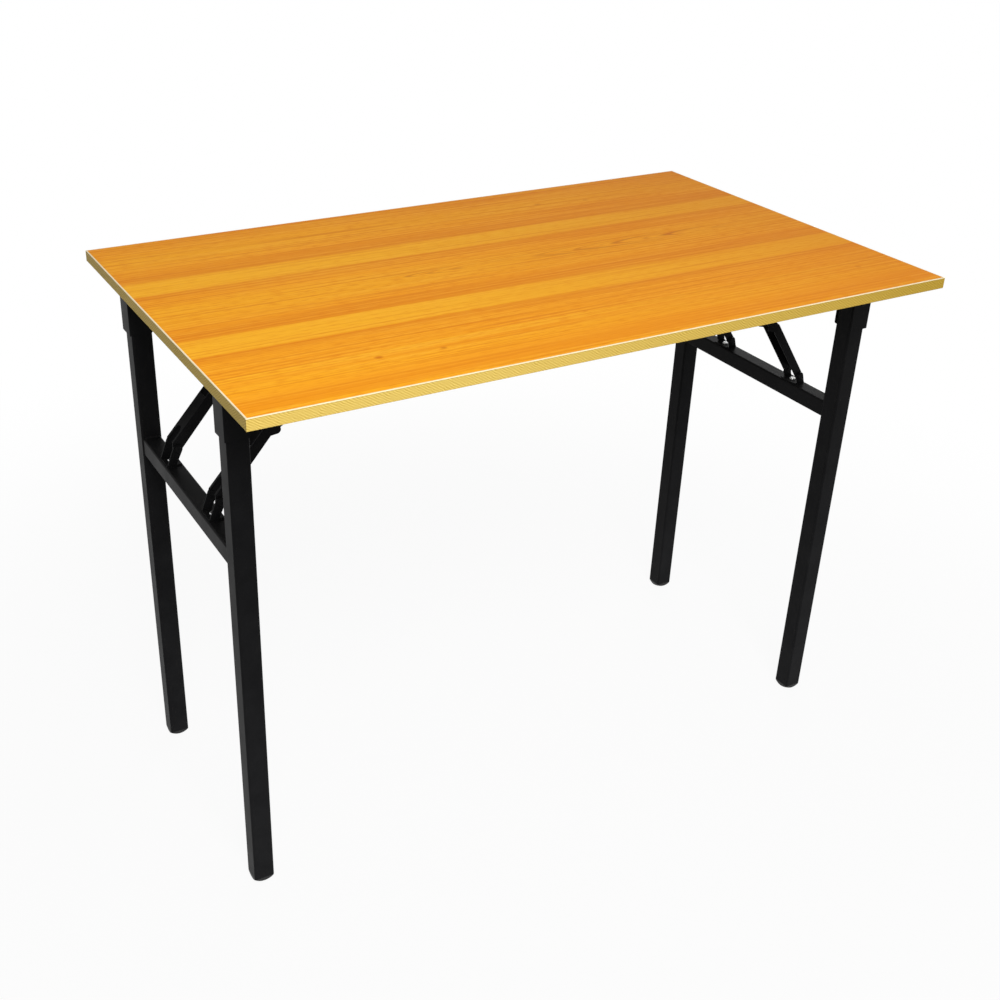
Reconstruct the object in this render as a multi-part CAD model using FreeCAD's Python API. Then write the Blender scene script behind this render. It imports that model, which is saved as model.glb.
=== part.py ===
import FreeCAD, Part
import math
import os

Vector = FreeCAD.Vector

# The table top: a laminated board, length along X and width along Y
top_length = 1000.0
top_width = 600.0
table_height = 750.0
top_thickness = 15.0
laminate_thickness = 0.6
backing_thickness = 0.6
edge_band_thickness = 2.0
edge_band_round = 0.8

# The leg frames: two square-tube legs and one crossbar at each end
leg_side = 28.0
leg_wall = 1.5
leg_corner = 3.0
leg_end_inset = 29.3
leg_side_inset = 123.75
crossbar_side = 25.0
crossbar_wall = 1.5
crossbar_corner = 2.5
crossbar_drop = 228.0

# The foot plugs: a domed head below the tube and a shank inside it
foot_dome_margin = 5.5
foot_flat_depth = 0.6
foot_band = 1.0
foot_shank_length = 18.0
foot_shank_gap = 0.15

# The leg hinges: the right pair hangs lower, so that its legs fold under the left ones
left_pivot_depth = 20.0
folded_leg_gap = 2.0
bracket_sheet = 2.5
bracket_gap = 0.5
bracket_skirt = 43.0
bracket_bend = 2.0
bracket_corner = 4.0
bracket_flange = 24.0
bracket_screw_pitch = 16.0
hinge_pin_radius = 4.0
hinge_head_radius = 7.0
hinge_head_height = 2.5

# The braces: a lower arm on the crossbar and an upper arm under the top, with an elbow
brace_side_offset = 80.5
left_anchor_reach = 158.0
right_anchor_reach = 132.0
left_lower_length = 122.7
right_lower_length = 125.0
left_pivot_offset = 3.0
right_pivot_offset = 0.5
left_pivot_lean = 6.0
left_pivot_rise = 23.5
right_pivot_rise = 11.5
over_centre = 3.0
anchor_pivot_depth = 18.0
brace_pin_radius = 3.0
arm_sheet = 1.5
arm_edge_round = 1.0
lower_width = 25.0
lower_depth = 13.0
elbow_offset = 5.5
arm_pivot_round = 6.0
fork_gap = 0.6
nose_radius = 6.0
nose_length = 18.0
lug_radius = 5.6
lug_setback = 10.4
lug_drop = 1.7
lug_ramp = 10.3
web_setback = 3.0
web_notch_radius = 7.5
left_notch_reach = 19.0
right_notch_reach = -1.0
left_web_cutback = 45.0
right_web_cutback = 34.0
upper_width = 17.0
upper_depth = 11.0
upper_web_setback = 10.0

# The clevises on the crossbars
clevis_sheet = 2.0
clevis_gap = 0.5
clevis_base = 20.0
clevis_cheek_base = 12.0
clevis_pivot_round = 6.5
clevis_rivet_radius = 2.5
clevis_rivet_length = 5.0
rivet_head_radius = 4.5
rivet_head_height = 2.0
pivot_head_radius = 5.0
pivot_head_height = 1.8
pivot_set_radius = 4.0
pivot_set_height = 0.6
pivot_set_gap = 0.1

# The brace anchors under the top
anchor_sheet = 2.0
anchor_ear_gap = 0.5
anchor_ear_round = 6.5
anchor_ear_base = 20.0
anchor_base_length = 44.0
anchor_base_width = 58.0
anchor_base_corner = 5.0
anchor_screw_pitch = 28.0
anchor_screw_spread = 42.0
anchor_head_radius = 4.5
anchor_head_height = 1.5
anchor_head_gap = 0.1

# The elbow rivets
elbow_boss_radius = 4.2
elbow_boss_gap = 0.4
elbow_head_radius = 5.0
elbow_head_height = 1.8

# The wood screws
screw_radius = 2.0
screw_head_radius = 4.0
screw_head_height = 2.0
screw_cover = 4.0
recess_length = 4.4
recess_width = 0.9
recess_depth = 1.1

# Rounding of a rivet, pin or screw head's rim, as a share of the head's height
head_rim_share = 0.7

# Running clearance of a pin in the piece that turns on it
running_gap = 0.05

# How near two places must be to count as the same when an edge is picked
match_distance = 0.3

# Places worked out from the sizes above
underside = table_height - top_thickness
leg_x = top_length / 2 - leg_end_inset
leg_y = top_width / 2 - leg_side_inset
half_leg = leg_side / 2
half_crossbar = crossbar_side / 2
crossbar_height = underside - crossbar_drop
crossbar_top = crossbar_height + half_crossbar
corner_reach = half_leg * math.sqrt(2) - leg_corner * (math.sqrt(2) - 1)
dome_radius = corner_reach + foot_dome_margin
dome_rise = dome_radius - math.sqrt(dome_radius ** 2 - corner_reach ** 2)
foot_height = dome_rise - foot_flat_depth + foot_band
bracket_inner = half_leg + bracket_gap
bracket_outer = bracket_inner + bracket_sheet
half_lower = lower_width / 2
half_upper = upper_width / 2
fork_half = half_upper + fork_gap
clevis_inner = half_lower + clevis_gap
clevis_outer = clevis_inner + clevis_sheet
ear_outer = half_upper - arm_sheet - anchor_ear_gap
ear_inner = ear_outer - anchor_sheet

LEFT = -1
RIGHT = 1
side_names = {LEFT: "left", RIGHT: "right"}
end_names = {-1: "front", 1: "back"}
pivot_depth = {LEFT: left_pivot_depth, RIGHT: left_pivot_depth + leg_side + folded_leg_gap}
anchor_reach = {LEFT: left_anchor_reach, RIGHT: right_anchor_reach}
lower_length = {LEFT: left_lower_length, RIGHT: right_lower_length}
pivot_offset = {LEFT: left_pivot_offset, RIGHT: right_pivot_offset}
notch_reach = {LEFT: left_notch_reach, RIGHT: right_notch_reach}
pivot_lean = {LEFT: left_pivot_lean, RIGHT: 0.0}
pivot_rise = {LEFT: left_pivot_rise, RIGHT: right_pivot_rise}
web_cutback = {LEFT: left_web_cutback, RIGHT: right_web_cutback}


def in_side_plane(side):
    """Map a reach inwards from the leg and a height to a point on the plane y = 0."""
    return lambda reach, height: Vector(side * (leg_x - reach), 0, height)


def in_floor_plane(across, along):
    """Map two plan coordinates to a point on the floor."""
    return Vector(across, along, 0)


def rounded_face(corners, to_space):
    """Face bounded by tangent lines and arcs round corner circles, listed anticlockwise."""
    normals = []
    for here, there in zip(corners, corners[1:] + corners[:1]):
        step_a = there[0] - here[0]
        step_b = there[1] - here[1]
        length = math.hypot(step_a, step_b)
        lean = (here[2] - there[2]) / length
        square = math.sqrt(1 - lean * lean)
        normal_a = (step_a * lean + step_b * square) / length
        normal_b = (step_b * lean - step_a * square) / length
        normals.append((normal_a, normal_b))
    edges = []
    for index, (a, b, radius) in enumerate(corners):
        before = normals[index - 1]
        after = normals[index]
        after_a = a + radius * after[0]
        after_b = b + radius * after[1]
        arc_end = to_space(after_a, after_b)
        if radius > 0:
            turn = math.atan2(before[0] * after[1] - before[1] * after[0],
                              before[0] * after[0] + before[1] * after[1]) % (2 * math.pi)
            middle = math.atan2(before[1], before[0]) + turn / 2
            arc_start = to_space(a + radius * before[0], b + radius * before[1])
            arc_middle = to_space(a + radius * math.cos(middle), b + radius * math.sin(middle))
            edges.append(Part.Arc(arc_start, arc_middle, arc_end).toShape())
        next_a, next_b, next_radius = corners[(index + 1) % len(corners)]
        next_start = to_space(next_a + next_radius * after[0], next_b + next_radius * after[1])
        edges.append(Part.LineSegment(arc_end, next_start).toShape())
    return Part.Face(Part.Wire(edges))


def rectangle(centre_a, centre_b, size_a, size_b, radius):
    """Corner circles of a rounded rectangle."""
    half_a = size_a / 2 - radius
    half_b = size_b / 2 - radius
    signs = [(-1, -1), (1, -1), (1, 1), (-1, 1)]
    return [(centre_a + sa * half_a, centre_b + sb * half_b, radius) for sa, sb in signs]


def plate(side, corners, y_low, y_high):
    """Upright plate square to Y, its outline in reach and height."""
    face = rounded_face(corners, in_side_plane(side))
    solid = face.extrude(Vector(0, y_high - y_low, 0))
    solid.translate(Vector(0, y_low, 0))
    return solid


def post(corners, z_low, z_high):
    """Upright bar with its outline in plan."""
    solid = rounded_face(corners, in_floor_plane).extrude(Vector(0, 0, z_high - z_low))
    solid.translate(Vector(0, 0, z_low))
    return solid


def block(low, high):
    """Plain box between two corners."""
    size = [top - bottom for bottom, top in zip(low, high)]
    return Part.makeBox(size[0], size[1], size[2], Vector(*low))


def round_bar(radius, start, end):
    """Cylinder between two points."""
    axis = end - start
    return Part.makeCylinder(radius, axis.Length, start, axis)


def button(radius, height, base, direction):
    """Low round head on a face, its outer rim rounded."""
    disc = Part.makeCylinder(radius, height, base, direction)
    rim = base + direction * height
    rim_edges = [edge for edge in disc.Edges
                 if edge.Closed and (edge.CenterOfMass - rim).Length < match_distance]
    return disc.makeFillet(height * head_rim_share, rim_edges)


def joined(first, *others):
    """One solid from touching pieces."""
    return first.fuse(list(others)).removeSplitter()


def export(node, *solids):
    """Write one piece, or one group of equal pieces, to its own file."""
    shape = solids[0] if len(solids) == 1 else Part.makeCompound(list(solids))
    shape.exportStep("parts/" + node + ".step")


def along(origin, slope, distance, offset):
    """Point at a distance along a sloping arm and an offset to its outer side."""
    reach = origin[0] + distance * math.cos(slope) - offset * math.sin(slope)
    height = origin[1] + distance * math.sin(slope) + offset * math.cos(slope)
    return (reach, height)


def stay_points(side):
    """Lower pivot, elbow and anchor pivot of a brace as reach and height, with the elbow over centre."""
    lower = (pivot_lean[side], crossbar_top + pivot_rise[side])
    anchor = (anchor_reach[side], underside - anchor_pivot_depth)
    angle = math.atan2(anchor[1] - lower[1], anchor[0] - lower[0])
    angle -= math.asin(over_centre / lower_length[side])
    elbow = along(lower, angle, lower_length[side], 0)
    return lower, elbow, anchor


def lower_direction(side):
    """Slope of the lower arm's channel: both its pivots stand to the inner side of the centre line."""
    lower, elbow, anchor = stay_points(side)
    slope = math.atan2(elbow[1] - lower[1], elbow[0] - lower[0])
    return slope + math.asin((elbow_offset - pivot_offset[side]) / lower_length[side])


def hinge_screw_places():
    """Plan positions of the screws through the bracket flanges."""
    places = []
    for side in side_names:
        for end in end_names:
            for flank in (-1, 1):
                for step in (-0.5, 0.5):
                    reach = (half_leg - bracket_outer) / 2 + step * bracket_screw_pitch
                    y = end * leg_y + flank * (bracket_outer + bracket_flange / 2)
                    places.append((side * (leg_x - reach), y))
    return places


def anchor_screw_places():
    """Plan positions of the screws through the anchor bases."""
    places = []
    for side in side_names:
        for end in end_names:
            for flank in (-0.5, 0.5):
                for step in (-0.5, 0.5):
                    reach = anchor_reach[side] + step * anchor_screw_pitch
                    y = end * brace_side_offset + flank * anchor_screw_spread
                    places.append((side * (leg_x - reach), y))
    return places


def screw_bar(place, z_low):
    """Shank of one wood screw, from a level up into the board."""
    tip = table_height - screw_cover
    return round_bar(screw_radius, Vector(place[0], place[1], z_low), Vector(place[0], place[1], tip))


def wood_screw(place, sheet):
    """Pan-head wood screw with a cross recess, driven up through a sheet."""
    seat = Vector(place[0], place[1], underside - sheet)
    head = button(screw_head_radius, screw_head_height, seat, Vector(0, 0, -1))
    face = seat.z - screw_head_height
    long_half = recess_length / 2
    thin_half = recess_width / 2
    for half_x, half_y in ((long_half, thin_half), (thin_half, long_half)):
        slot = block((seat.x - half_x, seat.y - half_y, face),
                     (seat.x + half_x, seat.y + half_y, face + recess_depth))
        head = head.cut(slot)
    return joined(head, screw_bar(place, seat.z))


def board():
    """Core with its two laminates, drilled for the screws."""
    half_x = top_length / 2 - edge_band_thickness
    half_y = top_width / 2 - edge_band_thickness
    core_low = underside + backing_thickness
    core_high = table_height - laminate_thickness
    core = block((-half_x, -half_y, core_low), (half_x, half_y, core_high))
    backing = block((-half_x, -half_y, underside), (half_x, half_y, core_low))
    holes = [screw_bar(place, underside) for place in hinge_screw_places() + anchor_screw_places()]
    export("board_core", core.cut(holes))
    export("bottom_laminate", backing.cut(holes))
    export("top_laminate", block((-half_x, -half_y, core_high), (half_x, half_y, table_height)))


def edge_band(low, high, outward):
    """Plastic strip on one edge of the board, its outer long edges rounded."""
    strip = block((low[0], low[1], underside), (high[0], high[1], table_height))
    outer_edges = []
    for edge in strip.Edges:
        offset = edge.CenterOfMass - strip.CenterOfMass
        on_outer_face = offset.dot(outward) > match_distance
        if on_outer_face and abs(offset.z) > match_distance:
            outer_edges.append(edge)
    return strip.makeFillet(edge_band_round, outer_edges)


def edge_bands():
    """Long strips over the full length, short strips between them."""
    half_x = top_length / 2
    half_y = top_width / 2
    inner_y = half_y - edge_band_thickness
    for end, name in end_names.items():
        inner = end * inner_y
        outer = end * half_y
        low = (-half_x, min(inner, outer))
        high = (half_x, max(inner, outer))
        export("edge_band_" + name, edge_band(low, high, Vector(0, end, 0)))
    for side, name in side_names.items():
        inner = side * (half_x - edge_band_thickness)
        outer = side * half_x
        low = (min(inner, outer), -inner_y)
        high = (max(inner, outer), inner_y)
        export("edge_band_" + name, edge_band(low, high, Vector(side, 0, 0)))


def hinge_bracket(side, end):
    """Folded bracket: a web outside the leg, a cheek on each flank and two screwed flanges."""
    y_mid = end * leg_y
    pivot = underside - pivot_depth[side]
    bottom = pivot - bracket_skirt
    profile = [(-bracket_outer, bottom, 0),
               (half_leg - bracket_corner, bottom + bracket_corner, bracket_corner),
               (half_leg, underside, 0), (-bracket_outer, underside, 0)]
    body = plate(side, profile, y_mid - bracket_outer, y_mid + bracket_outer)
    web_edges = []
    for edge in body.Edges:
        upright = edge.BoundBox.ZLength > bracket_skirt
        if upright and abs(edge.CenterOfMass.x) > leg_x + half_leg:
            web_edges.append(edge)
    body = body.makeFillet(bracket_bend, web_edges)
    hollow = plate(side, [(-bracket_inner, bottom - leg_side, 0), (leg_side, bottom - leg_side, 0),
                          (leg_side, table_height, 0), (-bracket_inner, table_height, 0)],
                   y_mid - bracket_inner, y_mid + bracket_inner)
    body = body.cut(hollow)
    flanges = []
    for flank in (-1, 1):
        near = y_mid + flank * bracket_inner
        far = y_mid + flank * (bracket_outer + bracket_flange)
        strip = rectangle((half_leg - bracket_outer) / 2, underside - bracket_sheet / 2,
                          half_leg + bracket_outer, bracket_sheet, 0)
        flanges.append(plate(side, strip, min(near, far), max(near, far)))
    pin = round_bar(hinge_pin_radius, Vector(side * leg_x, y_mid - leg_side, pivot),
                    Vector(side * leg_x, y_mid + leg_side, pivot))
    holes = [screw_bar(place, bottom) for place in hinge_screw_places()]
    return joined(body, *flanges).cut([pin] + holes)


def hinge_pin(side, end):
    """Headed pin through the two cheeks and the leg."""
    y_mid = end * leg_y
    pivot = underside - pivot_depth[side]
    pin = round_bar(hinge_pin_radius, Vector(side * leg_x, y_mid - bracket_outer, pivot),
                    Vector(side * leg_x, y_mid + bracket_outer, pivot))
    heads = []
    for flank in (-1, 1):
        seat = Vector(side * leg_x, y_mid + flank * bracket_outer, pivot)
        heads.append(button(hinge_head_radius, hinge_head_height, seat, Vector(0, flank, 0)))
    return joined(pin, *heads)


def brace_anchor(side, end):
    """Base plate under the top with two ears for the upper arm's pin."""
    y_mid = end * brace_side_offset
    lower, elbow, pivot = stay_points(side)
    base = post(rectangle(side * (leg_x - pivot[0]), y_mid, anchor_base_length, anchor_base_width,
                          anchor_base_corner), underside - anchor_sheet, underside)
    ear = [(pivot[0], pivot[1], anchor_ear_round), (pivot[0] + anchor_ear_base / 2, underside, 0),
           (pivot[0] - anchor_ear_base / 2, underside, 0)]
    ears = [plate(side, ear, y_mid + low, y_mid + high)
            for low, high in ((-ear_outer, -ear_inner), (ear_inner, ear_outer))]
    pin = round_bar(brace_pin_radius, Vector(side * (leg_x - pivot[0]), y_mid - half_lower, pivot[1]),
                    Vector(side * (leg_x - pivot[0]), y_mid + half_lower, pivot[1]))
    holes = [screw_bar(place, pivot[1]) for place in anchor_screw_places()]
    return joined(base, *ears).cut([pin] + holes)


def anchor_pin(side, end):
    """Pin through the anchor's ears and the upper arm, with a button head at each end."""
    pivot = stay_points(side)[2]
    centre = in_side_plane(side)(*pivot) + Vector(0, end * brace_side_offset, 0)
    half_length = Vector(0, half_upper + anchor_head_gap, 0)
    pin = round_bar(brace_pin_radius, centre - half_length, centre + half_length)
    heads = [button(anchor_head_radius, anchor_head_height, centre + half_length * flank, Vector(0, flank, 0))
             for flank in (-1, 1)]
    return joined(pin, *heads)


def leg(side, end):
    """Square tube with a half-round top that turns on the hinge pin."""
    x = side * leg_x
    y_mid = end * leg_y
    pivot = underside - pivot_depth[side]
    top = pivot + half_leg
    inner_side = leg_side - 2 * leg_wall
    outside = post(rectangle(x, y_mid, leg_side, leg_side, leg_corner), foot_height, top)
    inside = post(rectangle(x, y_mid, inner_side, inner_side, leg_corner - leg_wall), 0, table_height)
    envelope = plate(side, [(-half_leg, foot_height, 0), (half_leg, foot_height, 0), (0, pivot, half_leg)],
                     y_mid - leg_side, y_mid + leg_side)
    pin = round_bar(hinge_pin_radius + running_gap, Vector(x, y_mid - leg_side, pivot),
                    Vector(x, y_mid + leg_side, pivot))
    return outside.cut(inside).common(envelope).cut(pin)


def foot_plug(side, end):
    """Plastic plug: a domed head with a small flat, and a shank up inside the leg."""
    x = side * leg_x
    y_mid = end * leg_y
    head = post(rectangle(x, y_mid, leg_side, leg_side, leg_corner), 0, foot_height)
    dome = Part.makeSphere(dome_radius, Vector(x, y_mid, dome_radius - foot_flat_depth))
    shank_side = leg_side - 2 * (leg_wall + foot_shank_gap)
    shank = post(rectangle(x, y_mid, shank_side, shank_side, leg_corner - leg_wall),
                 foot_height, foot_height + foot_shank_length)
    return joined(head.common(dome), shank)


def crossbar(side):
    """Square tube between the two legs, drilled for the clevis rivets."""
    half_span = leg_y - half_leg
    inner_side = crossbar_side - 2 * crossbar_wall
    inner_corner = crossbar_corner - crossbar_wall
    outside = plate(side, rectangle(0, crossbar_height, crossbar_side, crossbar_side, crossbar_corner),
                    -half_span, half_span)
    inside = plate(side, rectangle(0, crossbar_height, inner_side, inner_side, inner_corner),
                   -half_span, half_span)
    shanks = [clevis_shank(side, end) for end in end_names]
    return outside.cut(inside).cut(shanks)


def clevis_shank(side, end):
    """Shank of the rivet that holds a clevis, from its base down through the tube wall."""
    seat = Vector(side * leg_x, end * brace_side_offset, crossbar_top + clevis_sheet)
    return round_bar(clevis_rivet_radius, seat, seat - Vector(0, 0, clevis_rivet_length))


def clevis_rivet(side, end):
    """Round-head rivet on the clevis base."""
    seat = Vector(side * leg_x, end * brace_side_offset, crossbar_top + clevis_sheet)
    head = button(rivet_head_radius, rivet_head_height, seat, Vector(0, 0, 1))
    return joined(head, clevis_shank(side, end))


def clevis(side, end):
    """Folded bracket on the crossbar: a base and two narrow cheeks that lean in beside the lower arm."""
    y_mid = end * brace_side_offset
    pivot, elbow, anchor = stay_points(side)
    outer_foot = -clevis_base / 2
    cheek = [(outer_foot, crossbar_top, 0), (outer_foot + clevis_cheek_base, crossbar_top, 0),
             (pivot[0], pivot[1], clevis_pivot_round)]
    cheeks = [plate(side, cheek, y_mid + low, y_mid + high)
              for low, high in ((-clevis_outer, -clevis_inner), (clevis_inner, clevis_outer))]
    base = plate(side, rectangle(0, crossbar_top + clevis_sheet / 2, clevis_base, clevis_sheet, 0),
                 y_mid - clevis_outer, y_mid + clevis_outer)
    centre = in_side_plane(side)(*pivot) + Vector(0, y_mid, 0)
    reach = Vector(0, lower_width, 0)
    pin = round_bar(brace_pin_radius, centre - reach, centre + reach)
    return joined(base, *cheeks).cut([pin, clevis_shank(side, end)])


def lower_arm(side, end):
    """Channel with its web on the outer side, slotted for the upper arm, and thumb lugs below the elbow."""
    y_mid = end * brace_side_offset
    pivot, elbow, anchor = stay_points(side)
    slope = lower_direction(side)
    elbow_distance = math.sqrt(lower_length[side] ** 2 - (elbow_offset - pivot_offset[side]) ** 2)
    web_face = pivot_offset[side] + lower_depth / 2
    web_back = web_face - arm_sheet
    inner_edge = web_face - lower_depth
    shoulder = elbow_distance - nose_length
    heel = along(pivot, slope, web_setback, web_face)
    inner_shoulder = along(pivot, slope, shoulder, inner_edge)
    outer_shoulder = along(pivot, slope, shoulder, web_face)
    cheek = [(pivot[0], pivot[1], arm_pivot_round), (inner_shoulder[0], inner_shoulder[1], 0),
             (elbow[0], elbow[1], nose_radius), (outer_shoulder[0], outer_shoulder[1], 0),
             (heel[0], heel[1], 0)]
    lug_distance = elbow_distance - lug_setback
    lug = [along(pivot, slope, lug_distance - lug_ramp, inner_edge) + (0,),
           along(pivot, slope, lug_distance, inner_edge - lug_drop) + (lug_radius,),
           along(pivot, slope, lug_distance, inner_edge + lug_radius) + (0,)]
    cheek_inner = half_lower - arm_sheet
    cheeks = [plate(side, outline, y_mid + low, y_mid + high) for outline in (cheek, lug)
              for low, high in ((-half_lower, -cheek_inner), (cheek_inner, half_lower))]
    spans = [(web_setback, shoulder, half_lower),
             (elbow_distance - web_cutback[side], shoulder, fork_half),
             (web_setback - web_notch_radius, notch_reach[side], web_notch_radius)]
    strips = []
    for start, stop, half_width in spans:
        strip = [(start, web_back), (stop, web_back), (stop, web_face), (start, web_face)]
        corners = [along(pivot, slope, distance, offset) + (0,) for distance, offset in strip]
        strips.append(plate(side, corners, y_mid - half_width, y_mid + half_width))
    web, fork_slot, notch_slot = strips
    across = Vector(0, y_mid, 0)
    notch_ends = [in_side_plane(side)(*along(pivot, slope, notch_reach[side], offset)) + across
                  for offset in (web_back, web_face)]
    notch_round = round_bar(web_notch_radius, *notch_ends)
    arm = joined(web.cut([fork_slot, notch_slot, notch_round]), *cheeks)
    long_edges = bend_edges(arm, y_mid, half_lower, in_side_plane(side)(*outer_shoulder))
    arm = arm.makeFillet(arm_edge_round, long_edges)
    pins = []
    for centre, gap in ((pivot, running_gap), (elbow, 0)):
        middle = in_side_plane(side)(*centre) + across
        reach = Vector(0, lower_width, 0)
        pins.append(round_bar(brace_pin_radius + gap, middle - reach, middle + reach))
    return arm.cut(pins)


def bend_edges(arm, y_mid, half_width, end_point):
    """The two long edges where the web turns into the cheeks, found by the point where they end."""
    edges = []
    for edge in arm.Edges:
        on_flank = abs(abs(edge.CenterOfMass.y - y_mid) - half_width) < match_distance
        ends_there = any((Vector(v.X - end_point.x, 0, v.Z - end_point.z)).Length < match_distance
                         for v in edge.Vertexes)
        if on_flank and ends_there and edge.Length > 2 * nose_length:
            edges.append(edge)
    return edges


def upper_arm(side, end):
    """Narrow channel from the elbow to the anchor, its web on the inner side."""
    y_mid = end * brace_side_offset
    lower, elbow, anchor = stay_points(side)
    slope = math.atan2(elbow[1] - anchor[1], elbow[0] - anchor[0])
    length = math.hypot(elbow[0] - anchor[0], elbow[1] - anchor[1])
    half_depth = upper_depth / 2
    cheek = [(anchor[0], anchor[1], half_depth), (elbow[0], elbow[1], half_depth)]
    cheek_inner = half_upper - arm_sheet
    cheeks = [plate(side, cheek, y_mid + low, y_mid + high)
              for low, high in ((-half_upper, -cheek_inner), (cheek_inner, half_upper))]
    web_end = length - upper_web_setback
    strip = [(upper_web_setback, half_depth - arm_sheet), (web_end, half_depth - arm_sheet),
             (web_end, half_depth), (upper_web_setback, half_depth)]
    web_corners = [along(anchor, slope, distance, offset) + (0,) for distance, offset in strip]
    web = plate(side, web_corners, y_mid - half_upper, y_mid + half_upper)
    pins = []
    for centre in (anchor, elbow):
        middle = in_side_plane(side)(*centre) + Vector(0, y_mid, 0)
        reach = Vector(0, upper_width, 0)
        pins.append(round_bar(brace_pin_radius + running_gap, middle - reach, middle + reach))
    return joined(cheeks[0], cheeks[1], web).cut(pins)


def lower_pivot_rivets(side, end):
    """One stub rivet in each cheek of a clevis, on which the lower arm turns, set flat inside the arm."""
    pivot, elbow, anchor = stay_points(side)
    rivets = []
    for flank in (-1, 1):
        outward = Vector(0, flank, 0)
        centre = in_side_plane(side)(*pivot) + Vector(0, end * brace_side_offset, 0)
        outer_seat = centre + outward * clevis_outer
        inner_seat = centre + outward * (half_lower - arm_sheet - pivot_set_gap)
        shank = round_bar(brace_pin_radius, inner_seat, outer_seat)
        head = button(pivot_head_radius, pivot_head_height, outer_seat, outward)
        flat_set = button(pivot_set_radius, pivot_set_height, inner_seat, -outward)
        rivets.append(joined(shank, head, flat_set))
    return rivets


def elbow_rivets(side, end):
    """One stub rivet in each cheek of the lower arm, its boss just clear of the upper arm."""
    lower, elbow, anchor = stay_points(side)
    cheek_inner = half_lower - arm_sheet
    rivets = []
    for flank in (-1, 1):
        outward = Vector(0, flank, 0)
        centre = in_side_plane(side)(*elbow) + Vector(0, end * brace_side_offset, 0)
        inner_face = centre + outward * cheek_inner
        outer_face = centre + outward * half_lower
        boss_end = centre + outward * (half_upper + elbow_boss_gap)
        boss = round_bar(elbow_boss_radius, boss_end, inner_face)
        shank = round_bar(brace_pin_radius, inner_face, outer_face)
        head = button(elbow_head_radius, elbow_head_height, outer_face, outward)
        rivets.append(joined(boss, shank, head))
    return rivets


def frame_group(side):
    """All pieces of one leg frame with its braces, anchors and hinges."""
    name = side_names[side]
    export("crossbar_" + name, crossbar(side))
    export("clevis_rivets_" + name, *[clevis_rivet(side, end) for end in end_names])
    pivot_rivets = [rivet for end in end_names for rivet in lower_pivot_rivets(side, end)]
    export("lower_pivot_rivets_" + name, *pivot_rivets)
    for end, end_name in end_names.items():
        corner = name + "_" + end_name
        export("hinge_bracket_" + corner, hinge_bracket(side, end))
        export("leg_" + corner, leg(side, end))
        export("foot_plug_" + corner, foot_plug(side, end))
        export("clevis_" + corner, clevis(side, end))
        export("lower_arm_" + corner, lower_arm(side, end))
        export("upper_arm_" + corner, upper_arm(side, end))
        export("elbow_rivets_" + corner, *elbow_rivets(side, end))
        export("brace_anchor_" + corner, brace_anchor(side, end))


def table_hardware():
    """Screws and pins that belong to the top, as groups of equal pieces."""
    corners = [(side, end) for side in side_names for end in end_names]
    export("hinge_bracket_screws", *[wood_screw(place, bracket_sheet) for place in hinge_screw_places()])
    export("brace_anchor_screws", *[wood_screw(place, anchor_sheet) for place in anchor_screw_places()])
    export("hinge_pins", *[hinge_pin(side, end) for side, end in corners])
    export("anchor_pins", *[anchor_pin(side, end) for side, end in corners])


os.makedirs("parts", exist_ok=True)
board()
edge_bands()
table_hardware()
for frame_side in side_names:
    frame_group(frame_side)
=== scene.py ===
import math

import bmesh
import bpy
from mathutils import Matrix, Quaternion, Vector


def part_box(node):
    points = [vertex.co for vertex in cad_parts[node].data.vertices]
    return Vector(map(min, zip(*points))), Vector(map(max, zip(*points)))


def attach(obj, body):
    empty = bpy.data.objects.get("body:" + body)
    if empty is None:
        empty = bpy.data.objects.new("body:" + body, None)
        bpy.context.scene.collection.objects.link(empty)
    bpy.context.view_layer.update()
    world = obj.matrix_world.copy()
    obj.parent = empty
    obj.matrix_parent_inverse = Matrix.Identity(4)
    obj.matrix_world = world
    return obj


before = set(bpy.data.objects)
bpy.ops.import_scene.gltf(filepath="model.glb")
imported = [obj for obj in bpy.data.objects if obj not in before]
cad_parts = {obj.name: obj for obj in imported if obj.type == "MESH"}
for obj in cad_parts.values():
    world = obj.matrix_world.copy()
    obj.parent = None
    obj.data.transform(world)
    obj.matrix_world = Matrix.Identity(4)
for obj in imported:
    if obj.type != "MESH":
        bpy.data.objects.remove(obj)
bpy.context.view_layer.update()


# Core of the top: a 14 mm particle board of wood chips pressed with resin.
# It is sawn square, and the laminates and edge bands hide it all round.
def linear(code):
    """Scene-linear colour with full alpha from an sRGB hex code."""
    channels = [int(code[i:i + 2], 16) / 255 for i in (1, 3, 5)]
    return [c / 12.92 if c <= 0.04045 else ((c + 0.055) / 1.055) ** 2.4 for c in channels] + [1.0]


def add(tree, kind, inputs, **settings):
    """One shader node with its settings, each input given as a value or as a socket to link."""
    made = tree.nodes.new(kind)
    for name, value in settings.items():
        setattr(made, name, value)
    for name, value in inputs.items():
        if isinstance(value, bpy.types.NodeSocket):
            tree.links.new(value, made.inputs[name])
        else:
            made.inputs[name].default_value = value
    return made


def set_stops(ramp_node, stops):
    """Give a colour ramp its stops, each a place from 0 to 1 and a colour."""
    elements = ramp_node.color_ramp.elements
    for index, (place_on_ramp, colour) in enumerate(stops):
        stop = elements[index] if index < 2 else elements.new(place_on_ramp)
        stop.position = place_on_ramp
        stop.color = colour


def new_material(name):
    """Empty node material with its surface shader and object coordinates."""
    material = bpy.data.materials.new(name)
    material.use_nodes = True
    tree = material.node_tree
    tree.nodes.clear()
    surface = tree.nodes.new("ShaderNodeBsdfPrincipled")
    output = tree.nodes.new("ShaderNodeOutputMaterial")
    tree.links.new(surface.outputs["BSDF"], output.inputs["Surface"])
    place = tree.nodes.new("ShaderNodeTexCoord").outputs["Object"]
    return material, tree, surface, place


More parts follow.
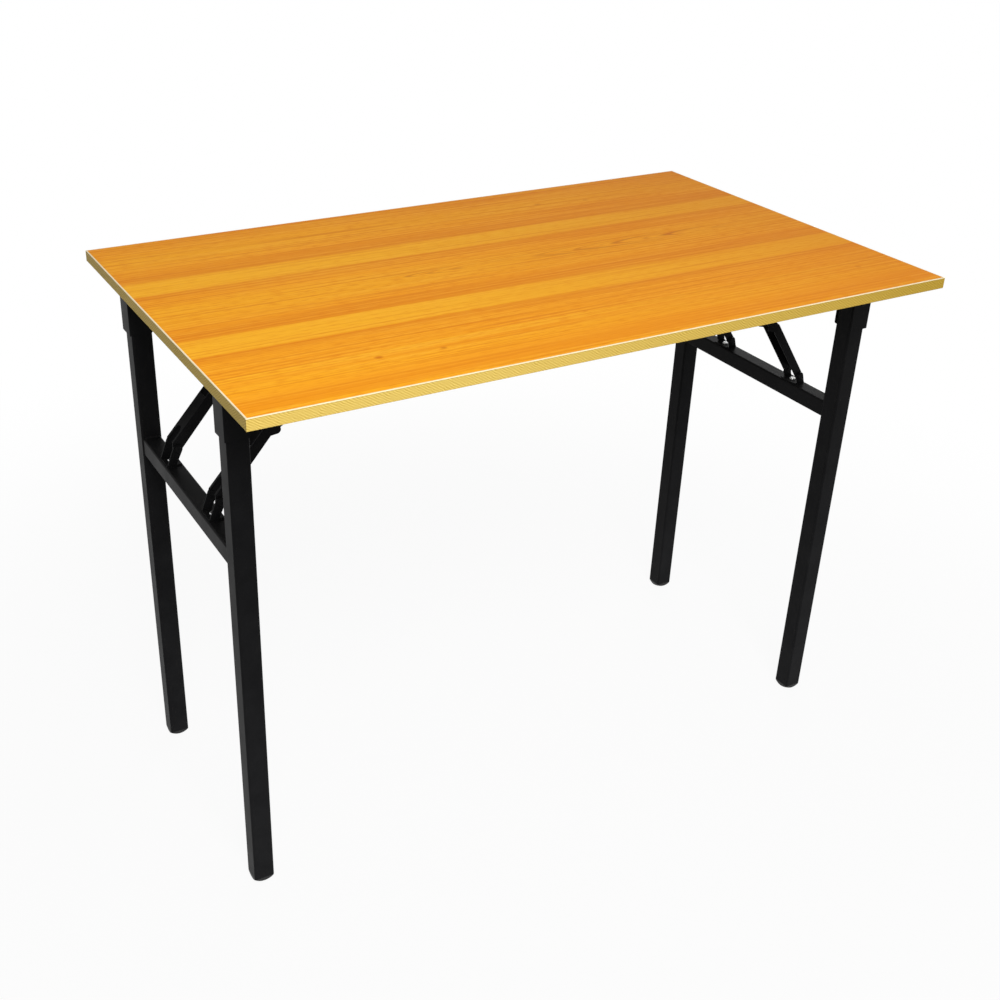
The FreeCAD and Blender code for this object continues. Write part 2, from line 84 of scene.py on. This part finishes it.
def dress(material, *nodes):
    """Give CAD nodes this material alone."""
    for node in nodes:
        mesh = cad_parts[node].data
        mesh.materials.clear()
        mesh.materials.append(material)


# Pressed wood chips give pale flakes a few millimetres long in a browner, resin-bound ground.
chip_length = 0.006
chip_depth = 0.0003
flake_buff = linear("#C9A877")
resin_brown = linear("#8E6C42")
chip_material, tree, surface, place = new_material("pressed_particle_board")
chips = add(tree, "ShaderNodeTexVoronoi", {"Vector": place, "Scale": 1 / chip_length})
tones = add(tree, "ShaderNodeValToRGB", {"Fac": chips.outputs["Distance"]})
set_stops(tones, [(0.0, flake_buff), (1.0, resin_brown)])
tree.links.new(tones.outputs["Color"], surface.inputs["Base Color"])
chip_relief = add(tree, "ShaderNodeBump",
                  {"Height": chips.outputs["Distance"], "Strength": 0.5, "Distance": chip_depth})
tree.links.new(chip_relief.outputs["Normal"], surface.inputs["Normal"])
surface.inputs["Roughness"].default_value = 0.85
dress(chip_material, "board_core")


# Upper face: a printed paper set in melamine resin and pressed flat onto the core.
# The print is an orange cherry-like wood with its grain along the length of the top.
top_low, top_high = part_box("top_laminate")
top_width = top_high.y - top_low.y
top_length = top_high.x - top_low.x
sap = linear("#F3AE1E")
pale = linear("#F1A514")
heart = linear("#EE9C12")
soft_late = linear("#E8920C")
late = linear("#E38B08")
line_pale = linear("#F4B236")
line_brown = linear("#D77300")
figure_brown = linear("#BC5800")
knot_brown = linear("#C86A00")
russet_shade = linear("#D97A0C")
wood_material, tree, surface, place = new_material("wood_print_melamine_satin")
axes = add(tree, "ShaderNodeSeparateXYZ", {"Vector": place})

# The growth bands wander a few millimetres sideways over the length.
wander_along = 0.40
wander_across = 0.20
wander_reach = 0.006
wander_place = add(tree, "ShaderNodeMapping",
                   {"Vector": place, "Scale": (1 / wander_along, 1 / wander_across, 0)})
wander = add(tree, "ShaderNodeTexNoise",
             {"Vector": wander_place.outputs["Vector"], "Scale": 1.0, "Detail": 2.0})
shift = add(tree, "ShaderNodeMath",
            {0: wander.outputs["Fac"], 1: wander_reach, 2: -wander_reach / 2}, operation="MULTIPLY_ADD")
across = add(tree, "ShaderNodeMath", {0: axes.outputs["Y"], 1: shift.outputs["Value"]}, operation="ADD")
band_share = add(tree, "ShaderNodeMapRange",
                 {"Value": across.outputs["Value"], "From Min": top_low.y, "From Max": top_high.y})

# Tone at each distance in millimetres from the front: two pale sapwood bands with dark borders.
# The alpha of a tone says how strongly growth lines and pores show in it, and calm tones show them less.
# The front and the back edge come first, because they take the two stops that a new ramp already has.
calm = 0.65
clear_sap = sap[:3] + [calm]
calm_heart = heart[:3] + [calm]
calm_late = soft_late[:3] + [calm]
band_tones = [(0, pale), (596, late), (7, pale), (11, calm_late), (32, calm_late), (44, calm_heart),
              (68, pale), (88, calm_heart), (92, sap), (95, heart), (100, sap), (104, heart),
              (145, heart), (163, late), (167, late), (171, clear_sap), (195, clear_sap),
              (219, clear_sap), (224, late), (243, late), (262, heart), (296, pale), (330, pale),
              (356, heart), (385, late), (391, clear_sap), (434, clear_sap), (440, late), (458, late),
              (483, heart), (527, pale), (560, heart)]
bands = add(tree, "ShaderNodeValToRGB", {"Fac": band_share.outputs["Result"]})
set_stops(bands, [(distance / 1000 / top_width, tone) for distance, tone in band_tones])

# The whole print turns a little redder and darker towards the right-hand end: painted shade, for the
# light that falls off towards that end.
right_shade_start = -0.25
right_shade_most = 0.46
right_end_shade = add(tree, "ShaderNodeMapRange",
              {"Value": axes.outputs["X"], "From Min": right_shade_start, "From Max": top_high.x,
               "To Max": right_shade_most})
# Painted shade: the russet is mixed in more strongly towards the right-hand end.
right_end_shaded_print = add(tree, "ShaderNodeMix",
               {"Factor": right_end_shade.outputs["Result"], "A": bands.outputs["Color"], "B": russet_shade},
               data_type="RGBA")
print_colour = right_end_shaded_print.outputs["Result"]

# Growth lines: long streaks of late and early wood, broad ones about 11 mm and fine ones 4 mm apart.
# The finest of the real print are under a millimetre, so these are drawn coarse enough to show.
# Each kind has its length, spacing, dark ink, softness, and how much dark and pale ink it takes.
dark_start = 0.53
pale_start = 0.48
growth_lines = [(0.60, 0.011, late, 0.18, 0.40, 0.16), (0.40, 0.0042, line_brown, 0.12, 0.60, 0.38)]
for streak_length, streak_width, dark_ink, softness, dark_share, pale_share in growth_lines:
    streak_place = add(tree, "ShaderNodeMapping",
                       {"Vector": place, "Scale": (1 / streak_length, 1 / streak_width, 0)})
    streaks = add(tree, "ShaderNodeTexNoise",
                  {"Vector": streak_place.outputs["Vector"], "Scale": 1.0, "Detail": 2.0,
                   "Roughness": 0.5})
    for ink, ink_start, ink_full, ink_share in (
            (dark_ink, dark_start, dark_start + softness, dark_share),
            (line_pale, pale_start, pale_start - softness, pale_share)):
        line = add(tree, "ShaderNodeMapRange",
                   {"Value": streaks.outputs["Fac"], "From Min": ink_start, "From Max": ink_full,
                    "To Max": ink_share})
        line_here = add(tree, "ShaderNodeMath",
                        {0: line.outputs["Result"], 1: bands.outputs["Alpha"]}, operation="MULTIPLY")
        lined = add(tree, "ShaderNodeMix",
                    {"Factor": line_here.outputs["Value"], "A": print_colour, "B": ink}, data_type="RGBA")
        print_colour = lined.outputs["Result"]

# Cathedral figure: uneven nested arches that point left, close to one spine along the middle of the top.
spine_y = 0.015
arch_curve = 620.0
arch_pitch = 0.032
arch_break = 0.030
arch_start = 0.47
arch_full = 0.64
arch_most = 0.75
figure_reach = 0.020
from_spine = add(tree, "ShaderNodeMath", {0: across.outputs["Value"], 1: spine_y}, operation="SUBTRACT")
square = add(tree, "ShaderNodeMath",
             {0: from_spine.outputs["Value"], 1: from_spine.outputs["Value"]}, operation="MULTIPLY")
arch = add(tree, "ShaderNodeMath",
           {0: square.outputs["Value"], 1: -arch_curve, 2: axes.outputs["X"]}, operation="MULTIPLY_ADD")
arch_place = add(tree, "ShaderNodeCombineXYZ",
                 {"X": arch.outputs["Value"], "Y": from_spine.outputs["Value"]})
arch_scale = add(tree, "ShaderNodeMapping",
                 {"Vector": arch_place.outputs["Vector"], "Scale": (1 / arch_pitch, 1 / arch_break, 0)})
arches = add(tree, "ShaderNodeTexNoise",
             {"Vector": arch_scale.outputs["Vector"], "Scale": 1.0, "Detail": 1.0})
arch_line = add(tree, "ShaderNodeMapRange",
                {"Value": arches.outputs["Fac"], "From Min": arch_start, "From Max": arch_full},
                interpolation_type="SMOOTHSTEP")
spine_distance = add(tree, "ShaderNodeMath", {0: from_spine.outputs["Value"]}, operation="ABSOLUTE")
near_spine = add(tree, "ShaderNodeMapRange",
                 {"Value": spine_distance.outputs["Value"], "From Min": figure_reach / 4,
                  "From Max": figure_reach, "To Min": 1.0, "To Max": 0.0},
                 interpolation_type="SMOOTHSTEP")

# Strength of the arches at each distance in millimetres from the left end, with the two ends first.
arch_strength = [(0, 0.0), (996, 0.0), (310, 0.05), (345, 0.7), (405, 0.8), (435, 0.15), (540, 0.25),
                 (580, 0.7), (680, 0.9), (780, 1.0), (815, 0.5), (870, 0.3), (905, 0.05)]
length_share = add(tree, "ShaderNodeMapRange",
                   {"Value": axes.outputs["X"], "From Min": top_low.x, "From Max": top_high.x})
arch_window = add(tree, "ShaderNodeValToRGB", {"Fac": length_share.outputs["Result"]})
set_stops(arch_window, [(distance / 1000 / top_length, (level, level, level, 1))
                        for distance, level in arch_strength])
arch_here = add(tree, "ShaderNodeMath",
                {0: arch_line.outputs["Result"], 1: near_spine.outputs["Result"]}, operation="MULTIPLY")
arch_dark = add(tree, "ShaderNodeMath",
                {0: arch_here.outputs["Value"], 1: arch_window.outputs["Color"]}, operation="MULTIPLY")
arch_share = add(tree, "ShaderNodeMath",
                 {0: arch_dark.outputs["Value"], 1: arch_most}, operation="MULTIPLY")
arched = add(tree, "ShaderNodeMix",
             {"Factor": arch_share.outputs["Value"], "A": print_colour, "B": figure_brown},
             data_type="RGBA")
print_colour = arched.outputs["Result"]

# Pin knots: small dark spots, longer along the grain.
# Each has its place and its length in metres, and how much of the dark ink it takes.
knot_slimness = 1.4
knot_core = 0.15
knot_rim = 0.75
pin_knots = [((-0.307, -0.214), 0.0105, 0.8), ((-0.227, -0.221), 0.0085, 0.7),
             ((0.183, 0.225), 0.011, 0.5), ((0.265, 0.215), 0.009, 0.45), ((0.425, -0.215), 0.010, 0.4)]
for (knot_x, knot_y), knot_length, knot_share in pin_knots:
    knot_middle = (-knot_x / knot_length, -knot_y / knot_length * knot_slimness, 0)
    knot_scale = (1 / knot_length, knot_slimness / knot_length, 0)
    knot_place = add(tree, "ShaderNodeMapping",
                     {"Vector": place, "Location": knot_middle, "Scale": knot_scale})
    knot_distance = add(tree, "ShaderNodeVectorMath",
                        {0: knot_place.outputs["Vector"]}, operation="LENGTH")
    knot = add(tree, "ShaderNodeMapRange",
               {"Value": knot_distance.outputs["Value"], "From Min": knot_core, "From Max": knot_rim,
                "To Min": knot_share, "To Max": 0.0}, interpolation_type="SMOOTHSTEP")
    knotted = add(tree, "ShaderNodeMix",
                  {"Factor": knot.outputs["Result"], "A": print_colour, "B": knot_brown},
                  data_type="RGBA")
    print_colour = knotted.outputs["Result"]

# Pores: short fine ticks along the grain, printed a little darker than the wood around them.
# Real ones are a tenth of a millimetre wide, so these are drawn coarse enough to show.
pore_length = 0.020
pore_width = 0.002
pore_start = 0.50
pore_full = 0.68
pore_share = 0.55
pore_place = add(tree, "ShaderNodeMapping",
                 {"Vector": place, "Scale": (1 / pore_length, 1 / pore_width, 0)})
pores = add(tree, "ShaderNodeTexNoise",
            {"Vector": pore_place.outputs["Vector"], "Scale": 1.0, "Detail": 3.0})
pore_dark = add(tree, "ShaderNodeMapRange",
                {"Value": pores.outputs["Fac"], "From Min": pore_start, "From Max": pore_full,
                 "To Max": pore_share})
pore_here = add(tree, "ShaderNodeMath",
                {0: pore_dark.outputs["Result"], 1: bands.outputs["Alpha"]}, operation="MULTIPLY")
ticked = add(tree, "ShaderNodeMix",
             {"Factor": pore_here.outputs["Value"], "A": print_colour, "B": line_brown}, data_type="RGBA")
tree.links.new(ticked.outputs["Result"], surface.inputs["Base Color"])

# The pressed resin face is satin, and the pores break up what it mirrors.
face_smooth = 0.40
face_dull = 0.58
pore_depth = 0.0002
gloss = add(tree, "ShaderNodeMapRange",
            {"Value": pores.outputs["Fac"], "To Min": face_smooth, "To Max": face_dull})
tree.links.new(gloss.outputs["Result"], surface.inputs["Roughness"])
pore_relief = add(tree, "ShaderNodeBump",
                  {"Height": pores.outputs["Fac"], "Strength": 0.08, "Distance": pore_depth})
tree.links.new(pore_relief.outputs["Normal"], surface.inputs["Normal"])
surface.inputs["Specular IOR Level"].default_value = 0.04
dress(wood_material, "top_laminate")


# Underside: a plain pale backing sheet of resin-soaked paper, pressed on to keep the board flat.
# Paper fibres leave it faintly mottled, and it is duller than the upper face.
mottle_size = 0.012
fibre_depth = 0.0002
backing_dark = linear("#D3C9B5")
backing_pale = linear("#E2DAC9")
backing_material, tree, surface, place = new_material("melamine_backing_paper")
mottle = add(tree, "ShaderNodeTexNoise",
             {"Vector": place, "Scale": 1 / mottle_size, "Detail": 6.0, "Roughness": 0.7})
tones = add(tree, "ShaderNodeValToRGB", {"Fac": mottle.outputs["Fac"]})
set_stops(tones, [(0.3, backing_dark), (0.7, backing_pale)])
tree.links.new(tones.outputs["Color"], surface.inputs["Base Color"])
fibre_relief = add(tree, "ShaderNodeBump",
                   {"Height": mottle.outputs["Fac"], "Strength": 0.1, "Distance": fibre_depth})
tree.links.new(fibre_relief.outputs["Normal"], surface.inputs["Normal"])
surface.inputs["Roughness"].default_value = 0.6
surface.inputs["Specular IOR Level"].default_value = 0.3
dress(backing_material, "bottom_laminate")


# Edge bands: 2 mm gold plastic strips, glued to the sawn edges and trimmed flush with both faces.
# A roller embosses a fine slanting hatch on the face, and the trimmed upper edge shows cream plastic.
# The real hatch lines are about 2.5 mm apart, and are drawn coarser here so that they show.
gold = linear("#E5CB70")
dark_gold = linear("#BD9942")
cream = linear("#EBDDB8")
trim_brown = linear("#9A7B3C")
band_shade_tint = linear("#D9D0A0")
band_material, tree, surface, place = new_material("embossed_pvc_edge_band")
axes = add(tree, "ShaderNodeSeparateXYZ", {"Vector": place})

# The embossing is uneven: its lines wobble, and they fade where the roller pressed lightly.
hatch_pitch = 0.0050
hatch_slant = 1.5
hatch_wobble = 7.0
hatch_most = 0.5
smear_size = 0.007
smear_start = 0.35
smear_full = 0.68
slant = add(tree, "ShaderNodeVectorMath", {0: place, 1: (1.0, 1.0, hatch_slant)}, operation="DOT_PRODUCT")
smear = add(tree, "ShaderNodeTexNoise", {"Vector": place, "Scale": 1 / smear_size, "Detail": 3.0})
wobble = add(tree, "ShaderNodeMath", {0: smear.outputs["Fac"], 1: hatch_wobble}, operation="MULTIPLY")
hatch_phase = add(tree, "ShaderNodeMath",
                  {0: slant.outputs["Value"], 1: 2 * math.pi / hatch_pitch, 2: wobble.outputs["Value"]},
                  operation="MULTIPLY_ADD")
hatch_wave = add(tree, "ShaderNodeMath", {0: hatch_phase.outputs["Value"]}, operation="SINE")
hatch_press = add(tree, "ShaderNodeMapRange",
                  {"Value": smear.outputs["Fac"], "From Min": smear_start, "From Max": smear_full,
                   "To Max": hatch_most})
hatch_height = add(tree, "ShaderNodeMath",
                   {0: hatch_wave.outputs["Value"], 1: hatch_press.outputs["Result"]},
                   operation="MULTIPLY")
hatch = add(tree, "ShaderNodeMapRange",
            {"Value": hatch_height.outputs["Value"], "From Min": -hatch_most, "From Max": hatch_most})
hatched = add(tree, "ShaderNodeMix",
              {"Factor": hatch.outputs["Result"], "A": gold, "B": dark_gold}, data_type="RGBA")

# The gold is painted deeper towards the right-hand end: painted shade, for the light that falls off
# there.
band_shade_start = -0.2
band_shade_share = add(tree, "ShaderNodeMapRange",
                {"Value": axes.outputs["X"], "From Min": band_shade_start, "From Max": top_high.x})
# Painted shade: the band's colour is multiplied darker towards the right-hand end.
band_shaded = add(tree, "ShaderNodeMix",
               {"Factor": band_shade_share.outputs["Result"], "A": hatched.outputs["Result"], "B": band_shade_tint},
               data_type="RGBA", blend_type="MULTIPLY")

# Trimmed upper edge: a thin brown line, and above it the bare cream plastic.
trim_depth = 0.0008
trim_line = 0.0006
trim_fade = 0.15
trim_dark = 0.7
trim_start = top_high.z - trim_depth - trim_line
line_share = trim_line / (trim_depth + trim_line)
clear_brown = trim_brown[:3] + [0.0]
strong_brown = trim_brown[:3] + [trim_dark]
trim_share = add(tree, "ShaderNodeMapRange",
                 {"Value": axes.outputs["Z"], "From Min": trim_start, "From Max": top_high.z})
trim = add(tree, "ShaderNodeValToRGB", {"Fac": trim_share.outputs["Result"]})
set_stops(trim, [(0.0, clear_brown), (line_share + trim_fade, cream), (line_share / 2, strong_brown),
                 (line_share, strong_brown)])
trimmed = add(tree, "ShaderNodeMix",
              {"Factor": trim.outputs["Alpha"], "A": band_shaded.outputs["Result"],
               "B": trim.outputs["Color"]}, data_type="RGBA")
tree.links.new(trimmed.outputs["Result"], surface.inputs["Base Color"])

# The dark hatch lines are pressed in, and the plastic is a dull satin.
hatch_depth = 0.0002
hatch_relief = add(tree, "ShaderNodeBump",
                   {"Height": hatch.outputs["Result"], "Strength": 0.2, "Distance": hatch_depth},
                   invert=True)
tree.links.new(hatch_relief.outputs["Normal"], surface.inputs["Normal"])
surface.inputs["Roughness"].default_value = 0.5
surface.inputs["Specular IOR Level"].default_value = 0.05
dress(band_material, "edge_band_front", "edge_band_back", "edge_band_left", "edge_band_right")


# Leg frames, hinges and braces: square steel tube and folded steel sheet, welded and riveted.
# They are powder coated, and the baked coat is satin black with a fine orange peel.
corners = [side + "_" + end for side in ("left", "right") for end in ("front", "back")]
coat_black = linear("#121213")
coat_grey = linear("#1B1B1C")
coat_material, tree, surface, place = new_material("black_powder_coat_satin")
axes = add(tree, "ShaderNodeSeparateXYZ", {"Vector": place})

# Dust lies on the coat in faint clouds. The coat is painted lighter towards the feet and darker under the
# top: painted light and shade, as the lower legs catch more light and the top shades the upper parts.
dust_size = 0.045
shade_low_z = 0.05
shade_high_z = 0.55
lit_tone_at_feet = 1.4
shaded_tone_under_top = 0.62
dust = add(tree, "ShaderNodeTexNoise",
           {"Vector": place, "Scale": 1 / dust_size, "Detail": 5.0, "Roughness": 0.65})
tones = add(tree, "ShaderNodeValToRGB", {"Fac": dust.outputs["Fac"]})
set_stops(tones, [(0.3, coat_black), (0.75, coat_grey)])
# Painted light and shade by height: the coat's tone is scaled up at the feet and down under the top.
height_light_shade = add(tree, "ShaderNodeMapRange",
               {"Value": axes.outputs["Z"], "From Min": shade_low_z, "From Max": shade_high_z,
                "To Min": lit_tone_at_feet, "To Max": shaded_tone_under_top})
height_lit_shaded = add(tree, "ShaderNodeVectorMath",
             {0: tones.outputs["Color"], "Scale": height_light_shade.outputs["Result"]}, operation="SCALE")
tree.links.new(height_lit_shaded.outputs["Vector"], surface.inputs["Base Color"])

# The coat is duller under the dust, and its orange peel breaks up what it mirrors.
coat_smooth = 0.30
coat_dull = 0.52
peel_size = 0.0022
peel_depth = 0.0002
sheen = add(tree, "ShaderNodeMapRange",
            {"Value": dust.outputs["Fac"], "To Min": coat_smooth, "To Max": coat_dull})
tree.links.new(sheen.outputs["Result"], surface.inputs["Roughness"])
peel = add(tree, "ShaderNodeTexNoise", {"Vector": place, "Scale": 1 / peel_size, "Detail": 1.0})
peel_relief = add(tree, "ShaderNodeBump",
                  {"Height": peel.outputs["Fac"], "Strength": 0.12, "Distance": peel_depth})
tree.links.new(peel_relief.outputs["Normal"], surface.inputs["Normal"])
surface.inputs["Specular IOR Level"].default_value = 0.03
for kind in ("hinge_bracket_", "brace_anchor_", "leg_", "clevis_", "lower_arm_", "upper_arm_",
             "elbow_rivets_"):
    dress(coat_material, *[kind + corner for corner in corners])
dress(coat_material, "crossbar_left", "crossbar_right", "lower_pivot_rivets_left",
      "lower_pivot_rivets_right", "hinge_pins")


# Welds: each crossbar end is welded to its leg along the upper and the lower edge.
# A bead is a short row of overlapping ripples of steel, and the frame's coat covers it.
bead_length = 0.021
bead_radius = 0.0021
bead_sides = 12
bead_ripples = 9
bead_steps = 2 * bead_ripples
valley = 0.80
tip = 0.55
for side in ("left", "right"):
    bar_low, bar_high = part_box("crossbar_" + side)
    bar_x = (bar_low.x + bar_high.x) / 2
    shape = bmesh.new()
    for bead_y in (bar_low.y, bar_high.y):
        for bead_z in (bar_low.z, bar_high.z):
            middle = Vector((bar_x, bead_y, bead_z))
            along_edge = Matrix.Translation(middle) @ Matrix.Rotation(math.pi / 2, 4, "Y")
            bmesh.ops.create_cone(shape, cap_ends=True, segments=bead_sides, radius1=bead_radius,
                                  radius2=bead_radius, depth=bead_length, matrix=along_edge)
            long_edges = [edge for edge in shape.edges
                          if abs(edge.verts[0].co.x - edge.verts[1].co.x) > bead_length / 2]
            bmesh.ops.subdivide_edges(shape, edges=long_edges, cuts=bead_steps - 1)
            bead = [vert for vert in shape.verts if (vert.co - middle).length < bead_length]
            for vert in bead:
                step = round((vert.co.x - bar_x) / bead_length * bead_steps) + bead_ripples
                size = tip if step in (0, bead_steps) else valley if step % 2 == 0 else 1.0
                vert.co.y = bead_y + (vert.co.y - bead_y) * size
                vert.co.z = bead_z + (vert.co.z - bead_z) * size
    for face in shape.faces:
        face.smooth = True
    mesh = bpy.data.meshes.new("weld_beads_" + side)
    shape.to_mesh(mesh)
    shape.free()
    mesh.materials.append(coat_material)
    beads = bpy.data.objects.new("weld_beads_" + side, mesh)
    bpy.context.scene.collection.objects.link(beads)
    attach(beads, "frame_" + side)


# Foot plugs: injection-moulded black polythene, pushed into the leg ends.
# The mould was spark-eroded, so the domes are duller than the coated tube.
# The real grit is about a tenth of a millimetre, and is drawn coarser here so that it shows.
grit_size = 0.0018
grit_depth = 0.0002
plug_black = linear("#0E0E0E")
plug_grey = linear("#181818")
plug_material, tree, surface, place = new_material("moulded_black_polythene")
grit = add(tree, "ShaderNodeTexNoise", {"Vector": place, "Scale": 1 / grit_size, "Detail": 2.0})
tones = add(tree, "ShaderNodeValToRGB", {"Fac": grit.outputs["Fac"]})
set_stops(tones, [(0.3, plug_black), (0.7, plug_grey)])
tree.links.new(tones.outputs["Color"], surface.inputs["Base Color"])
grit_relief = add(tree, "ShaderNodeBump",
                  {"Height": grit.outputs["Fac"], "Strength": 0.2, "Distance": grit_depth})
tree.links.new(grit_relief.outputs["Normal"], surface.inputs["Normal"])
surface.inputs["Roughness"].default_value = 0.5
surface.inputs["Specular IOR Level"].default_value = 0.35
dress(plug_material, *["foot_plug_" + corner for corner in corners])


# Clevis rivets, anchor pins and wood screws: steel with a bright zinc plate.
# The plate is faintly cloudy, with a cool grey shine.
cloud_size = 0.003
zinc_grey = linear("#B9BBBE")
zinc_white = linear("#D6D6D2")
plate_smooth = 0.24
plate_dull = 0.46
zinc_material, tree, surface, place = new_material("bright_zinc_plate")
clouds = add(tree, "ShaderNodeTexNoise", {"Vector": place, "Scale": 1 / cloud_size, "Detail": 3.0})
tones = add(tree, "ShaderNodeValToRGB", {"Fac": clouds.outputs["Fac"]})
set_stops(tones, [(0.3, zinc_grey), (0.7, zinc_white)])
tree.links.new(tones.outputs["Color"], surface.inputs["Base Color"])
shine = add(tree, "ShaderNodeMapRange",
            {"Value": clouds.outputs["Fac"], "To Min": plate_smooth, "To Max": plate_dull})
tree.links.new(shine.outputs["Result"], surface.inputs["Roughness"])
surface.inputs["Metallic"].default_value = 1.0
dress(zinc_material, "clevis_rivets_left", "clevis_rivets_right", "anchor_pins", "hinge_bracket_screws",
      "brace_anchor_screws")


# Floor: a wide sheet of white studio paper, laid under the feet.
# It keeps a soft shadow of the desk, and to the camera and in reflections it turns white further away.
def seen_white(tree):
    """Socket that is 1 for rays from the camera, off a mirror or through glass, and 0 for the others."""
    rays = add(tree, "ShaderNodeLightPath", {})
    seen = add(tree, "ShaderNodeMath",
               {0: rays.outputs["Is Camera Ray"], 1: rays.outputs["Is Glossy Ray"]}, operation="MAXIMUM")
    seen = add(tree, "ShaderNodeMath",
               {0: seen.outputs["Value"], 1: rays.outputs["Is Transmission Ray"]}, operation="MAXIMUM")
    return seen.outputs["Value"]


floor_half = 20.0
floor_drop = 0.0005
near_white = 0.93
near_distance = 0.6
far_distance = 1.7
paper_grey = linear("#CACACA")
pure_white = linear("#FFFFFF")
shape = bmesh.new()
bmesh.ops.create_grid(shape, x_segments=1, y_segments=1, size=floor_half)
bmesh.ops.translate(shape, verts=shape.verts, vec=(0, 0, -floor_drop))
mesh = bpy.data.meshes.new("floor")
shape.to_mesh(mesh)
shape.free()
floor = bpy.data.objects.new("floor", mesh)
bpy.context.scene.collection.objects.link(floor)
floor_material, tree, surface, place = new_material("white_studio_paper")
surface.inputs["Base Color"].default_value = paper_grey
surface.inputs["Roughness"].default_value = 0.9
surface.inputs["Specular IOR Level"].default_value = 0.0
distance = add(tree, "ShaderNodeVectorMath", {0: place}, operation="LENGTH")
white_share = add(tree, "ShaderNodeMapRange",
                  {"Value": distance.outputs["Value"], "From Min": near_distance,
                   "From Max": far_distance, "To Min": near_white, "To Max": 1.0},
                  interpolation_type="SMOOTHSTEP")
white = add(tree, "ShaderNodeMath",
            {0: seen_white(tree), 1: white_share.outputs["Result"]}, operation="MULTIPLY")
glow = add(tree, "ShaderNodeEmission", {"Color": pure_white, "Strength": 1.0})
blend = add(tree, "ShaderNodeMixShader",
            {0: white.outputs["Value"], 1: surface.outputs["BSDF"], 2: glow.outputs["Emission"]})
output = [node for node in tree.nodes if node.type == "OUTPUT_MATERIAL"][0]
tree.links.new(blend.outputs["Shader"], output.inputs["Surface"])
mesh.materials.append(floor_material)


# Room: a pale surround that fills the shadows, with a dark drape hung on the left.
# The drape keeps the left edge in shade. The room is white where the camera or a reflection sees it.
room_light = 0.45
drape_light = 0.04
drape_end = -0.8
room_start = 0.3
world = bpy.data.worlds.new("studio_room")
bpy.context.scene.world = world
world.use_nodes = True
tree = world.node_tree
tree.nodes.clear()
heading = tree.nodes.new("ShaderNodeTexCoord").outputs["Generated"]
direction = add(tree, "ShaderNodeSeparateXYZ", {"Vector": heading})
fill = add(tree, "ShaderNodeMapRange",
           {"Value": direction.outputs["X"], "From Min": drape_end, "From Max": room_start,
            "To Min": drape_light, "To Max": room_light}, interpolation_type="SMOOTHSTEP")
strength = add(tree, "ShaderNodeMapRange",
               {"Value": seen_white(tree), "To Min": fill.outputs["Result"], "To Max": 1.0})
sky = add(tree, "ShaderNodeBackground", {"Color": pure_white, "Strength": strength.outputs["Result"]})
add(tree, "ShaderNodeOutputWorld", {"Surface": sky.outputs["Background"]})


# Main lamp: one soft box in front of the desk and above it, in line with the left end.
# It leaves the left edge in shade and fades a little towards the far corner.
def hang(lamp, lamp_place, target):
    """Lamp object hung at a place and aimed at a target, both in metres."""
    hung = bpy.data.objects.new(lamp.name, lamp)
    hung.location = lamp_place
    aim = Vector(target) - hung.location
    hung.rotation_euler = aim.to_track_quat("-Z", "Y").to_euler()
    bpy.context.scene.collection.objects.link(hung)
    return hung


main_lamp = bpy.data.lights.new("soft_box", "AREA")
main_lamp.size = 1.2
main_lamp.energy = 85.0
hang(main_lamp, (-0.75, -2.1, 2.5), (0, 0, 0.7))


# Back lamp: a wide low soft box behind the right-hand corner, below the level of the top.
# It keeps the back and the right side from going black.
back_lamp = bpy.data.lights.new("back_soft_box", "AREA")
back_lamp.shape = "RECTANGLE"
back_lamp.size = 1.4
back_lamp.size_y = 0.3
back_lamp.energy = 20.0
hung_back_lamp = hang(back_lamp, (1.6, 1.6, 0.52), (0, 0, 0.52))
hung_back_lamp.visible_camera = False


# Camera: left of the front edge and above the top, at the angle of the photograph.
# Its focal length and centre are in pixels of a square picture 1000 wide.
photo_size = 1000.0
focal_pixels = 1315.71
centre_pixels = (446.33, 489.04)
camera_place = (-0.91605, -1.45432, 1.32865)
azimuth = math.radians(-29.47)
elevation = math.radians(28.40)
roll = math.radians(1.33)
camera_data = bpy.data.cameras.new("camera")
camera_data.sensor_width = 36.0
camera_data.lens = focal_pixels / photo_size * camera_data.sensor_width
camera_data.shift_x = (photo_size / 2 - centre_pixels[0]) / photo_size
camera_data.shift_y = (centre_pixels[1] - photo_size / 2) / photo_size
camera = bpy.data.objects.new("camera", camera_data)
camera.location = camera_place
back = Vector((math.sin(azimuth) * math.cos(elevation), -math.cos(azimuth) * math.cos(elevation),
               math.sin(elevation)))
camera.rotation_mode = "QUATERNION"
camera.rotation_quaternion = back.to_track_quat("Z", "Y") @ Quaternion((0, 0, 1), roll)
bpy.context.scene.collection.objects.link(camera)
bpy.context.scene.camera = camera
bpy.context.scene.view_settings.view_transform = "Standard"
